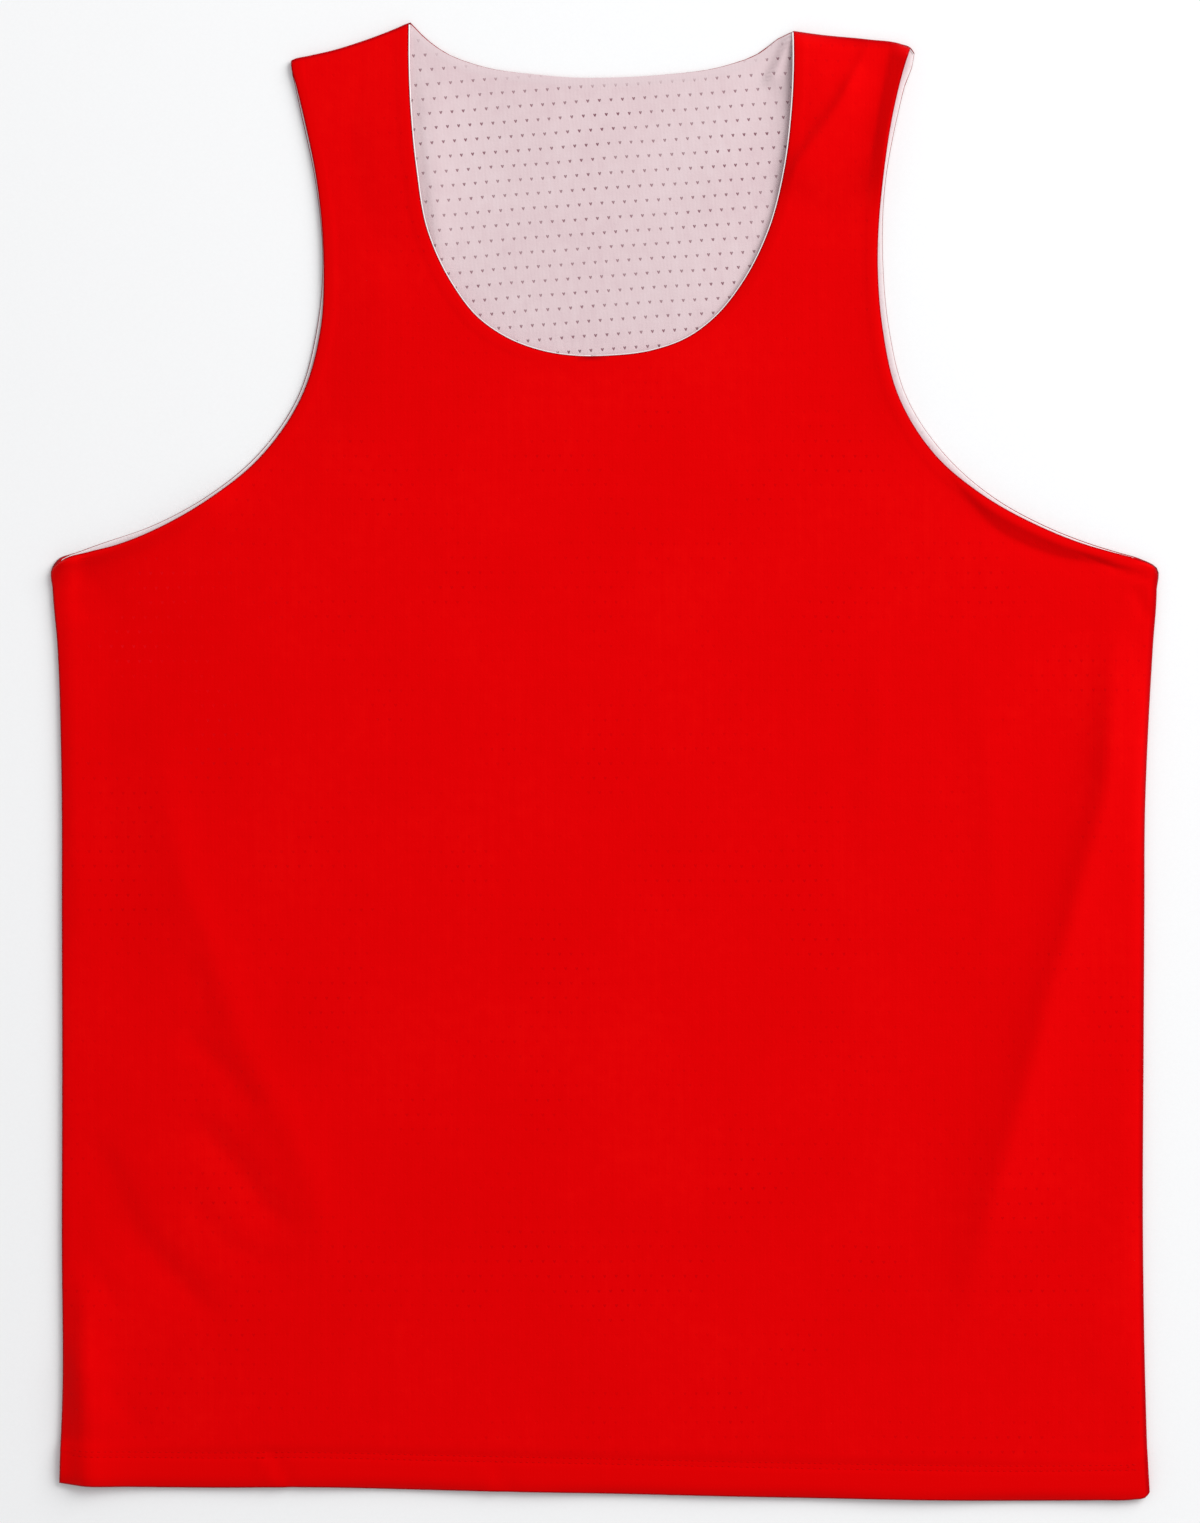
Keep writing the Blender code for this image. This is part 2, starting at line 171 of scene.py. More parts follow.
# Gathers and ends of folds that run through the hem.  They aren't held above the back, so
# the two troughs press the front's layers about half a millimetre into each other and
# into the white back.
hemFolds = (
    (2.7, 3, 5.5, 14, ((-267, 95), (-265, 45), (-263, 10), (-261, -40))),
    (-0.9, 0.8, 1.6, 2.6, ((-174, 30), (-167, 20), (-161, 10), (-156, 0))),
    (0.7, 1, 2, 2.2, ((-178, 28), (-171, 18), (-166, 9), (-161, 0))),
    (-0.6, 0.8, 1.6, 2.4, ((-61, 24), (-55, 14), (-49, 5), (-46, -2))),
    (0.4, 1, 2, 2.2, ((-66, 22), (-60, 13), (-55, 4), (-52, -2))),
)
backFolds = (                # the white back's own creases, which show in the neck
    (1.5, 2.6, 2.6, 12, ((-90.5, 775), (-90.5, 740), (-90.5, 710), (-88, 670), (-80, 610))),
    (0.8, 0.7, 8, 6, ((100, 780), (97, 750), (95.5, 736), (94, 722), (92, 700), (89, 680))),
    (2.5, 0.5, 1.4, 5, ((98, 755), (93.5, 742), (91, 736), (88.5, 730), (85.5, 724), (81, 716))),
    (0.5, 8, 14, 12, ((78, 735), (60, 690), (52, 640), (20, 590))),
    (0.3, 10, 14, 14, ((-60, 712), (-20, 690), (25, 702))),
)
undersideFolds = (           # creases of the whole back, which lift it off the floor
    (0.9, 5, 14, 8, ((-214, 420), (-196, 330), (-190, 250), (-170, 170))),
    (0.7, 5, 8, 14, ((225, 450), (215, 340), (190, 240), (150, 160))),
    (0.6, 5, 10, 10, ((-240, 140), (-190, 95), (-130, 70))),
    (0.5, 5, 9, 12, ((90, 520), (70, 440), (66, 350))),
    (0.5, 5, 12, 9, ((-60, 330), (-30, 220), (-40, 120))),
    (0.6, 5, 8, 10, ((180, 110), (215, 75), (245, 60))),
)
foldFade = 0.24              # share of the path over which each end dies away
foldReach = 4.0              # flanks' widths at which a fold has come to nothing

undulation = (               # height, wavelength and heading of the slight waves all over
    (0.16, 260, 20),
    (0.09, 150, 110),
    (0.05, 96, -35),
    (0.03, 61, 75),
)
waveShift = 1.7              # each wave starts this much further round than the one before


def ease(value):
    # 0 below 0, 1 above 1, and 3t^2 - 2t^3 between
    t = np.clip(value, 0.0, 1.0)
    return t * t * (3.0 - 2.0 * t)


def ramp(value, span):
    # 0 at the span's start, 1 past its length, which may be negative
    start, length = span
    return ease((value - start) / length)


def between(low, high, share):
    return low + (high - low) * share


def ripple(run, rows):
    # sum of size * sin(run / length + shift)
    return sum(size * np.sin(run / length + shift) for size, length, shift in rows)


def smoothCurve(points, steps=12):
    # Hermite curve through the points, with chord-weighted slopes
    points = np.array(points, float)
    chord = np.diff(points, axis=0)
    gap = np.linalg.norm(chord, axis=1)[:, None]
    slope = chord / gap
    share = gap[:-1] / (gap[:-1] + gap[1:])
    tangent = np.vstack([slope[:1], slope[:-1] * (1 - share) + slope[1:] * share, slope[-1:]])
    t = np.linspace(0.0, 1.0, steps, endpoint=False)[None, :, None]
    start, end = points[:-1, None], points[1:, None]
    leave, arrive = tangent[:-1, None] * gap[:, None], tangent[1:, None] * gap[:, None]
    line = (start * (2 * t**3 - 3 * t**2 + 1) + leave * (t**3 - 2 * t**2 + t)
            + end * (3 * t**2 - 2 * t**3) + arrive * (t**3 - t**2))
    return np.vstack([line.reshape(-1, 2), points[-1:]])


def runOf(line):
    # distance along the line at each of its points
    return np.concatenate([[0.0], np.cumsum(np.linalg.norm(np.diff(line, axis=0), axis=1))])


def leftNormal(way):
    # unit vectors square to each step, on its left
    way = way / np.linalg.norm(way, axis=-1, keepdims=True)
    return np.stack([-way[..., 1], way[..., 0]], axis=-1)


def along(line, distance):
    run = runOf(line)
    return np.stack([np.interp(distance, run, line[:, k]) for k in (0, 1)], axis=-1)


def distanceAt(line, up):
    return float(np.interp(up, line[:, 1], runOf(line)))


def nearest(plan, line):
    # signed distance of each point from the line, positive to its left as it runs on,
    # and the share of the line's length at which the nearest place lies
    flat = plan.reshape(-1, 2)
    start, step = line[:-1], np.diff(line, axis=0)
    size = np.maximum((step**2).sum(axis=1), 1e-12)
    run = runOf(line)
    away, place = np.empty(len(flat)), np.empty(len(flat))
    for first in range(0, len(flat), 4000):
        part = flat[first:first + 4000, None] - start
        t = np.clip((part * step).sum(axis=2) / size, 0.0, 1.0)
        off = part - t[..., None] * step
        distance = np.linalg.norm(off, axis=2)
        best = distance.argmin(axis=1)
        row = np.arange(len(part))
        side = step[best, 0] * off[row, best, 1] - step[best, 1] * off[row, best, 0]
        away[first:first + 4000] = np.where(side < 0.0, -1.0, 1.0) * distance[row, best]
        place[first:first + 4000] = (run[best] + t[row, best] * np.sqrt(size[best])) / run[-1]
    return away.reshape(plan.shape[:-1]), place.reshape(plan.shape[:-1])


def foldHeight(plan, folds):
    # sum of folds, each rise * exp(-(hypot(distance, crest) - crest) / flank), brought
    # to nothing at foldReach flanks' distance, and faded towards its ends
    height = np.zeros(plan.shape[:-1])
    for rise, crest, left, right, path in folds:
        line = smoothCurve(path, 8)
        reach = foldReach * max(np.max(left), np.max(right))
        near = ((plan > line.min(axis=0) - reach) & (plan < line.max(axis=0) + reach)).all(axis=-1)
        if not near.any():
            continue
        away, place = nearest(plan[near], line)
        flanks = [np.interp(place, (0.0, 1.0), np.broadcast_to(width, 2)) for width in (right, left)]
        flank = np.where(away > 0.0, *flanks)
        fade = ease(place / foldFade) * ease((1.0 - place) / foldFade)
        window = np.clip(1.0 - (away / flank / foldReach) ** 2, 0.0, 1.0) ** 2
        height[near] += rise * fade * window * np.exp(-(np.hypot(away, crest) - crest) / flank)
    return height


def waveHeight(plan):
    # sum of slight sine waves in different directions
    height = np.zeros(plan.shape[:-1])
    for number, (rise, length, heading) in enumerate(undulation):
        turn = math.radians(heading)
        run = plan[..., 0] * math.cos(turn) + plan[..., 1] * math.sin(turn)
        height += rise * np.sin(2 * math.pi * run / length + waveShift * number)
    return height


def tableSide(table, column):
    return [(row[column], row[0]) for row in table]


def outlineOf(right, back):
    # the four edges of one half of a panel; the front's shoulders end a little short of the back's
    shoulder = shoulderRight if right else shoulderLeft
    if not back:
        shoulder = shoulder[1:] if right else shoulder[:-1]
    hem = hemLine[: hemCentre - 1 : -1] if right else hemLine[: hemCentre + 1]
    side = tableSide(sideSeam, 1 + right)
    arm = tableSide(armhole, 1 + 2 * right + back)
    neck = tableSide(backNeck if back else frontNeck, 1 + right) + [shoulder[-1]]
    centre = np.linspace(hem[-1], neck[0], 24, endpoint=False)
    return {
        "hem": smoothCurve(hem),
        "outer": smoothCurve([hem[0]] + side + arm + [shoulder[0]]),
        "shoulder": smoothCurve(shoulder),
        "neck": smoothCurve(neck),
        "inner": np.vstack([centre, smoothCurve(neck)]),
    }


outlines = {back: [outlineOf(right, back) for right in (0, 1)] for back in (0, 1)}


def seamLine(back, right, part):
    # the part of an outer edge below the end of the side seam, or above it
    line = outlines[back][right]["outer"]
    end = distanceAt(line, armhole[0][0])
    run = runOf(line)
    return line[run <= end] if part == "side" else line[run >= end]


def edgeDistances(plan, back):
    # distance of each point to the panel's hem, side seams, armholes, neck and shoulders
    away = {}
    for name in ("hem", "side", "arm", "neck", "shoulder"):
        seam = name in ("side", "arm")
        lines = [seamLine(back, right, name) if seam else outlines[back][right][name] for right in (0, 1)]
        away[name] = np.minimum(*[abs(nearest(plan, line)[0]) for line in lines])
    away["open"] = np.minimum(away["arm"], away["neck"])
    away["sewn"] = np.minimum(away["side"], away["shoulder"])
    return away


def hemShare(away):
    # 1 in the hem's turned ply, 0 in single cloth
    return 1.0 - np.clip((away["hem"] - garment["hemDepth"]) / garment["hemFade"], 0, 1)


print("outline ready")

# Small forms at the edges and the hem
edgeForm = {
    "allowanceHeight": 0.2,   # turned-in seam allowance, at neck and armholes
    "allowanceWidth": 4.5,
    "allowanceSlope": 3.5,
    "roundDepth": 0.4,        # how far a free edge bends down
    "roundWidth": 2.2,
    "armDepth": 0.35,         # the left armhole bends down a little more
    "armWidth": 7.0,
    "armAir": 0.05,           # share of the air left under the left one's edge
    "armReach": 34.0,
    "neckLift": 3.0,          # the right side of the neck stands further off towards its top
    "sagDepth": 1.3,          # the right side of the neck droops further
    "sagWidth": 9.0,
    "hemDepth": 1.8,          # and the hem's edge is rounded, here more and there less
    "hemWidth": 6.5,
    "hemUneven": ((0.22, 16.6, 1.4), (0.2, 27.0, -0.6)),
    "bendPower": 2.2,         # how sharply every edge bends down
    "rightShare": 0.6,        # of roundDepth, at the right
    "leftBlend": 80.0,
    "edgeAir": 0.55,          # air just inside a side seam
    "shoulderAir": 0.15,      # share of the air left at the shoulders
    "airReach": 110.0,        # it grows to its full height over this distance
    "seamCalm": 4.5,          # folds die out this close to a side or shoulder seam
    "hemCalm": 26.0,
    "hemKeep": 0.35,          # share of the folds that runs on into the hem
    # where three of them apply: starts and lengths, across and up, negative towards the
    # left or the hem
    "droopZone": ((10.0, 50.0), (700.0, -45.0)),       # the neck's droop
    "settleZone": ((30.0, -90.0), (492.0, 40.0)),      # the left armhole's edge
    "liftZone": ((30.0, 50.0), (690.0, 40.0)),         # the neck's lift
    "liftReach": (4.0, 34.0),
    "shoulderReach": 45.0,
}
backForm = {
    "hemReach": 60.0,         # its creases grow up to this far from the hem
    "liftShare": 0.45,        # of the front's relief that they may take
    "foldShare": 0.85,        # and that the white back's own creases may
    "foldDip": 0.08,
    "foldCalm": 2.0,
}
piping = {                    # the white front past the red neck edge, in shares of its reveal
    "height": 1.1,            # of a layer's step
    "climb": (0.0, 0.2),
    "bend": (0.84, 0.16),
}
clothEdge = {
    "thinner": 0.2,           # a free edge is this much thinner
    "thinWidth": 3.0,
    "toneWidth": (1.0, 2.0),  # an allowance's tone fades from this far before its end, over this
    "toneShare": 0.75,
    "paintedEdgeBlend": (-80, 80),    # across which the left width of the painted edge shading turns into the right one
}
hemStitch = {
    "lines": (15.4, 18.0),    # the two needle lines, from the hem edge
    "groove": 0.2,
    "grooveWidth": 1.3,
    "pucker": 0.08,           # the cloth gathers a little between the stitches
    "puckerLength": 12.5,
    "stitch": 2.4,            # length of one stitch
    "pitch": 3.1,
    "thread": 0.2,            # radius of the thread
    "taper": (0.55, 0.95, 1.0, 0.95, 0.55),
    "sides": 6,
    "frontRise": 0.02,        # middle of a stitch, off the red front
    "frontDive": 0.3,         # how much lower its ends are
    "backRise": 0.24,         # middle of a stitch on the red back, off the level it lies on
    "backDive": 0.25,         # how much deeper in the cloth its ends are
    "inset": 5.0,             # the lines stop this far from the side seams
    "puckerReach": 8.0,
    "puckerMean": 0.6,        # of the pucker's height, which puckerWaves makes uneven
    "puckerDrift": ((0.5, 19, 0), (0.4, 41, 1)),
    "puckerWaves": ((0.4, 37, 2), (1, 11, 0)),
}


def hemForm(plan, away):
    # grooves of the two needle lines, and puckers across them:
    # -groove exp(-(d / width)^2) + pucker sin(along) exp(-((d - middle) / reach)^2)
    height = np.zeros(plan.shape[:-1])
    for line in hemStitch["lines"]:
        height -= hemStitch["groove"] * np.exp(-(((away["hem"] - line) / hemStitch["grooveWidth"]) ** 2))
    x = plan[..., 0]
    phase = 2 * math.pi * (x / hemStitch["puckerLength"] + ripple(x, hemStitch["puckerDrift"]))
    slow, fast = [ripple(x, [row]) for row in hemStitch["puckerWaves"]]
    size = hemStitch["pucker"] * (hemStitch["puckerMean"] + slow * fast)
    middle = sum(hemStitch["lines"]) / 2
    height += size * np.sin(phase) * np.exp(-(((away["hem"] - middle) / hemStitch["puckerReach"]) ** 2))
    return height + foldHeight(plan, hemFolds)


def calm(away, reach):
    # 0 at the side and shoulder seams, 1 further in than reach: 1 - (1 - t)^2
    return 1.0 - np.clip(1.0 - away["sewn"] / (reach + roll), 0.0, 1.0) ** 2


def zoneShare(plan, name):
    across, up = edgeForm[name]
    return ramp(plan[..., 0], across) * ramp(plan[..., 1], up)


def edgeDrop(plan, away):
    # sum of depth * (1 - distance / width)^bendPower at free edges, at the hem, and where
    # the neck droops
    x = plan[..., 0]
    drop = np.zeros(plan.shape[:-1])
    droop = zoneShare(plan, "droopZone")
    left = ease(0.5 - x / edgeForm["leftBlend"])
    uneven = 1.0 + ripple(x, edgeForm["hemUneven"])
    rounding = between(edgeForm["rightShare"], 1, left)
    for distance, depth, width in (
            (away["open"], edgeForm["roundDepth"] * rounding, edgeForm["roundWidth"]),
            (away["arm"], edgeForm["armDepth"] * left, edgeForm["armWidth"]),
            (away["neck"], edgeForm["sagDepth"] * droop, edgeForm["sagWidth"]),
            (away["hem"], edgeForm["hemDepth"] * uneven, edgeForm["hemWidth"])):
        drop += depth * np.clip(1.0 - distance / width, 0.0, 1.0) ** edgeForm["bendPower"]
    return drop


def frontRelief(plan, away):
    # how far the front stands off the back: its air, folds, waves and edges
    hem = hemShare(away)
    fromHem = ramp(away["hem"], (garment["hemDepth"], edgeForm["hemCalm"]))
    toHem = between(edgeForm["hemKeep"], 1, fromHem)
    fine, wide = calm(away, edgeForm["seamCalm"]), calm(away, edgeForm["airReach"])
    air = between(edgeForm["edgeAir"], garment["air"], wide)
    air *= between(edgeForm["shoulderAir"], 1, ease(away["shoulder"] / edgeForm["shoulderReach"]))
    settled = zoneShare(plan, "settleZone") * (1 - ease(away["arm"] / edgeForm["armReach"]))
    air *= between(1, edgeForm["armAir"], settled)
    lifted = zoneShare(plan, "liftZone") * (1 - ramp(away["neck"], edgeForm["liftReach"]))
    air += edgeForm["neckLift"] * lifted
    height = (air * (1.0 - hem) + foldHeight(plan, frontFolds) * toHem) * fine
    height += waveHeight(plan) * toHem * wide
    allowance = 1.0 - ramp(away["open"], (edgeForm["allowanceWidth"], edgeForm["allowanceSlope"]))
    height += edgeForm["allowanceHeight"] * allowance * fine
    return np.maximum(height, 0.0)


def frontTop(plan, away):
    # outside of the red front before its edges bend down
    form = hemForm(plan, away) * calm(away, edgeForm["seamCalm"])
    return stack + 4 * garment["hemPly"] * hemShare(away) + frontRelief(plan, away) + form


def backLift(plan, away):
    # how far the back's creases lift it, always less than half of what the front leaves open
    lift = np.maximum(foldHeight(plan, undersideFolds), 0.0) * calm(away, edgeForm["seamCalm"])
    lift *= ease(away["hem"] / backForm["hemReach"])
    return np.minimum(lift, backForm["liftShare"] * frontRelief(plan, edgeDistances(plan, 0)))


# Grids.  Rows and columns are millimetres in from an edge, and a panel's zones are its
# body, armpit, chest and strap: the heights at which each ends at the outer and at the
# inner edge, None for the edge's own end, and its number of rows.

outerHemRows = (0, 0.4, 1, 1.9, 3.2, 5, 7.4, 10, 12.4, 13.8, 14.6, 15.2, 15.8, 16.5, 17.2, 17.8,
                18.5, 19.6, 21.2, 23)
innerHemRows = tuple(garment["innerHem"] + rise for rise in (0, 0.4, 1.2, 2.6, 4.5, 7, 9.2, 11.5, 14.3, 17))
outerFreeColumns = (0, 0.15, 0.35, 0.6, 0.95, 1.35, 1.85, 2.45, 3.2, 4.1)
backNeckColumns = (3.0, 2.0, 1.3, 0.8, 0.45, 0.2, 0)

redFront = {
    "back": 0,
    "shell": "outer",
    "zones": ((463, 466, 146), (480, 484, 12), (575, 580.5, 36), (None, None, 60)),
    "columns": 62,
    "crowd": 1.22,            # above 1 the columns crowd towards the seams
    "hemRows": outerHemRows,
    "freeColumns": outerFreeColumns,
    "neckColumns": (4.4, 3.2, 2.3, 1.6, 1.1, 0.7, 0.4, 0.18, 0),
    "reveal": (0.0, 0.0),
    # how far in from each edge its painted shading reaches, one width or a left and a right one; the red
    # front's is wider on the lit right side
    "paintedEdgeShading": {"hem": 0.9, "side": (1.0, 2.3), "shoulder": (2.0, 2.6), "neck": 0.8, "arm": 0.9},
}
whiteFront = {
    "back": 0,
    "shell": "inner",
    "zones": ((463, 466, 110), (480, 484, 10), (575, 580.5, 28), (None, None, 60)),
    "columns": 40,
    "crowd": 1.22,
    "hemRows": innerHemRows,
    "freeColumns": (1.2, 1.5, 2.2, 3.2),
    "neckColumns": (4.4, 3.0, 1.9, 1.0, 0.4, 0, -0.07, -0.14, -0.2, -0.5, -0.84, -0.9, -0.95, -1),
    "reveal": (0.5, 0.9),    # it shows this far past the red edge: at the bottom, at the top
    # painted highlight along the white piping at the neck
    "paintedEdgeShading": {"neck": 0.5},
}
whiteBack = {
    "back": 1,
    "shell": "inner",
    "zones": ((463, 466, 60), (480, 484, 8), (650, 722, 84), (None, None, 28)),
    "columns": 70,
    "crowd": 1.0,
    "hemRows": innerHemRows,
    "freeColumns": (0.35, 0.6, 1.0, 1.6, 2.6),
    "neckColumns": backNeckColumns,
    "reveal": (-0.08, -0.9),  # near the neck points the red back shows past it
    # painted highlight on the white strip past the armholes
    "paintedEdgeShading": {"arm": 3.0},
}
redBack = {
    "back": 1,
    "shell": "outer",
    "zones": ((463, 466, 90), (480, 484, 10), (650, 722, 50), (None, None, 16)),
    "columns": 44,
    "crowd": 1.2,
    "hemRows": outerHemRows,
    "freeColumns": outerFreeColumns,
    "neckColumns": backNeckColumns,
    "reveal": (0.0, 0.0),
    # painted shade along the red back's edges
    "paintedEdgeShading": {"hem": 0.9, "side": 1.5, "shoulder": 1.5, "neck": 1.2, "arm": 0.9},
}


def rollSection(panel):
    # quarter circle at a seam: how far in from the edge in mm, and the share it goes down.
    # The white shell's is smaller, inside the red one's.
    inset = 0.0 if panel["shell"] == "outer" else step
    radius = roll - inset
    angle = np.linspace(math.asin(garment["seamGap"] / 2 / radius), math.pi / 2, garment["rollSteps"])
    return (inset + radius * np.append(1 - np.cos(angle), garment["rollReach"]),
            np.append(1 - np.sin(angle), 0.0))


def slantOf(line, distance, inner):
    # sine of the angle at which each row leaves the outer edge
    edge = along(line, distance + 1.0) - along(line, distance - 1.0)
    row = inner - along(line, distance)
    cross = edge[:, 0] * row[:, 1] - edge[:, 1] * row[:, 0]
    sine = abs(cross) / np.linalg.norm(edge, axis=1) / np.linalg.norm(row, axis=1)
    return np.maximum(sine, garment["leastSlant"])


def halfGrid(panel, right):
    # rows by columns of (across, up) over half a panel: the blend of its four edges at
    # distances from the outer edge that follow the seam roll, then crowd, then the neck
    edges = outlines[panel["back"]][right]
    ins, drops = rollSection(panel)
    stations = []
    for edge, column in ((edges["outer"], 0), (edges["inner"], 1)):
        end = runOf(edge)[-1]
        rows = list(panel["hemRows"])
        for zone in panel["zones"]:
            stop = end - ins[-1] if zone[column] is None else distanceAt(edge, zone[column])
            rows.extend(np.linspace(rows[-1], stop, zone[2] + 1)[1:])
        stations.append(np.append(rows, end - ins[-2::-1]))
    sOuter, sInner = stations
    outer, inner = along(edges["outer"], sOuter), along(edges["inner"], sInner)
    width = np.linalg.norm(inner - outer, axis=1)[:, None]

    seamEnd = distanceAt(edges["outer"], armhole[0][0])
    rolled = 1.0 - ease((sOuter - seamEnd) / garment["rollEnd"])[:, None]
    free = np.array(panel["freeColumns"])
    if panel["shell"] == "outer":
        seam, drop = ins, drops
    else:
        seam, drop = garment["rollReach"] * roll + free - free[0], np.zeros(len(free))
    edge = (seam * rolled + free * (1.0 - rolled)) / slantOf(edges["outer"], sOuter, inner)[:, None]
    neck = np.array(panel["neckColumns"])
    t = np.linspace(0.0, 1.0, panel["columns"] + 1)[1:] ** panel["crowd"]
    middle = edge[:, -1:] + (width - neck[0] - edge[:, -1:]) * t
    inward = np.hstack([edge, middle, width - np.maximum(neck[1:], 0.0)])

    u = inward / width
    v = ((sOuter / runOf(edges["outer"])[-1] + sInner / runOf(edges["inner"])[-1]) / 2)[:, None, None]
    hem = along(edges["hem"], u * runOf(edges["hem"])[-1])
    shoulder = along(edges["shoulder"], u * runOf(edges["shoulder"])[-1])
    u = u[..., None]
    corners = (edges["outer"][0], edges["inner"][0], edges["outer"][-1], edges["inner"][-1])
    plan = ((1 - u) * outer[:, None] + u * inner[:, None] + (1 - v) * hem + v * shoulder
            - (1 - v) * ((1 - u) * corners[0] + u * corners[1])
            - v * ((1 - u) * corners[2] + u * corners[3]))

    sideDrop = np.hstack([drop * rolled, np.zeros(inward.shape[:1] + (inward.shape[1] - len(free),))])
    topDrop = np.zeros(len(sOuter))
    topDrop[-len(drops):] = drops[::-1]
    return plan, np.maximum(sideDrop, topDrop[:, None])


def neckRow(panel):
    # the row whose inner end is the lowest point of the neck edge
    return len(panel["hemRows"]) - 1 + sum(zone[2] for zone in panel["zones"][:-1])


def shiftNeck(panel, plan):
    # columns past 0 step into the neck, the last by the panel's reveal; a negative reveal
    # draws the edge back instead, which dies away over the neck columns
    low, high = panel["reveal"]
    if low == 0.0:
        return
    neck = np.array(panel["neckColumns"])
    first = neckRow(panel)
    left, right = plan[0, first:, -1], plan[1, first:, -1]
    normal = leftNormal(np.gradient(np.concatenate([left[::-1], right[1:]]), axis=0))
    climb = np.linspace(0.0, 1.0, len(left))[:, None] ** 2
    share = np.maximum(-neck, 0.0) if low > 0.0 else ease(1.0 - neck / neck[0])
    reveal = between(low, high, climb) * share
    for half, turned in zip(plan, (normal[len(left) - 1::-1], normal[len(left) - 1:])):
        half[first:, -len(neck):] += reveal[..., None] * turned[:, None]


def gridFaces(shape, openFrom, down):
    # quads of both halves, which share their centre points up to the neck
    index = np.arange(np.prod(shape)).reshape(shape)
    index[1, : openFrom + 1, -1] = index[0, : openFrom + 1, -1]
    faces = []
    for half, turn in zip(index, (1, -1)):
        quads = np.stack([half[:-1, :-1], half[:-1, 1:], half[1:, 1:], half[1:, :-1]], axis=-1)
        faces.append(quads.reshape(-1, 4)[:, :: -turn if down else turn])
    return np.concatenate(faces)


def pointNormals(points, faces):
    # weighted by area, and the same for all points that lie in one place
    place = np.unique(np.round(points, 4), axis=0, return_inverse=True)[1].ravel()
    corner = points[faces]
    faceNormal = np.cross(corner[:, 2] - corner[:, 0], corner[:, 3] - corner[:, 1])
    normal = np.zeros_like(points)
    for k in range(4):
        np.add.at(normal, place[faces[:, k]], faceNormal)
    size = np.linalg.norm(normal, axis=1, keepdims=True)
    return (normal / np.where(size > 0.0, size, 1.0))[place]


def linked(name, data):
    # a new object in the scene
    obj = bpy.data.objects.new(name, data)
    bpy.context.scene.collection.objects.link(obj)
    return obj


def meshObject(name, points, faces):
    mesh = bpy.data.meshes.new(name)
    mesh.from_pydata(points.tolist(), [], faces)
    mesh.shade_smooth()
    return linked(name, mesh)


def placed(points):
    return (points - [0.0, garment["bodyLength"] / 2, 0.0]) * millimetre


def closedShell(name, points, faces, wall, shares):
    # a thin closed wall: the given side, the same side moved in by wall along its
    # normals, and a rim that joins the two along every open edge
    used, faces = np.unique(faces, return_inverse=True)
    faces = faces.reshape(-1, 4)
    points, wall = points[used], wall[used]
    inside = points - pointNormals(points, faces) * wall[:, None]
    count = len(points)
    starts, ends = faces.ravel(), np.roll(faces, -1, axis=1).ravel()
    code, back = starts * count + ends, ends * count + starts
    rim = ~np.isin(code, back)
    a, b = starts[rim], ends[rim]
    rimFaces = np.stack([b, a, a + count, b + count], axis=1)
    everyFace = np.vstack([faces, faces[:, ::-1] + count, rimFaces])
    obj = meshObject(name, placed(np.vstack([points, inside])), everyFace.tolist())
    layer = obj.data.uv_layers.new(name="cloth")
    uv = points[:, :2]
    corners = np.vstack([uv, uv])[everyFace.ravel()] * millimetre
    layer.data.foreach_set("uv", corners.astype(np.float32).ravel())
    for label, value in shares.items():
        share = obj.data.attributes.new(label, "FLOAT", "POINT")
        share.data.foreach_set("value", np.tile(value.ravel()[used], 2).astype(np.float32))
    return obj


def cutArea(plan, faces):
    # area of the panel's cut in square metres, with the cloth flat
    corner = plan.reshape(-1, 2)[faces]
    one, two = corner[:, 2] - corner[:, 0], corner[:, 3] - corner[:, 1]
    return float(abs(one[:, 0] * two[:, 1] - one[:, 1] * two[:, 0]).sum() / 2 * millimetre**2)


def buildPanel(name, panel):
    back, outer = panel["back"], panel["shell"] == "outer"
    halves = [halfGrid(panel, right) for right in (0, 1)]
    plan = np.stack([half[0] for half in halves])
    drop = np.stack([half[1] for half in halves])
    away = edgeDistances(plan, back)
    ply = garment["hemPly"] * hemShare(away)
    level = backLift(plan, away) if back else frontTop(plan, away) - edgeDrop(plan, away)
    if not outer:
        level += step + ply if back else -step - ply
    if back and not outer:
        room = backForm["foldShare"] * frontRelief(plan, edgeDistances(plan, 0))
        creases = foldHeight(plan, backFolds) * calm(away, backForm["foldCalm"])
        level += np.clip(creases, -backForm["foldDip"], room)
    level = level * (1.0 - drop) + drop * (roll + 2 * ply)
    shiftNeck(panel, plan)
    if not back and not outer:
        level = level + neckPiping(panel, level.shape) * (1.0 - drop)
    nearEdge = np.clip(1.0 - away["open"] / clothEdge["thinWidth"], 0.0, 1.0)
    wall = garment["wall"] + ply - clothEdge["thinner"] * nearEdge
    faces = gridFaces(plan.shape[:3], neckRow(panel), bool(back))
    points = np.concatenate([plan, level[..., None]], axis=-1).reshape(-1, 3)
    sooner, fade = clothEdge["toneWidth"]
    allowance = 1.0 - ramp(away["open"], (edgeForm["allowanceWidth"] - sooner, fade))
    # painted edge shading: 1 at an edge, down to 0 at the width given for it
    paintedEdgeShading = [1.0 - away[edge] / np.interp(plan[..., 0], clothEdge["paintedEdgeBlend"], np.broadcast_to(width, 2))
            for edge, width in panel["paintedEdgeShading"].items()]
    obj = closedShell(name, points, faces, wall.ravel(), {
        "doubled": np.maximum(clothEdge["toneShare"] * allowance, hemShare(away)),
        "rim": np.clip(np.max(paintedEdgeShading, axis=0), 0.0, 1.0),
    })
    obj["cutArea"] = cutArea(plan, faces)
    triangles = sum(len(face.vertices) - 2 for face in obj.data.polygons)
    print(name, "triangles", triangles, "cut area", round(obj["cutArea"], 4))
    return obj


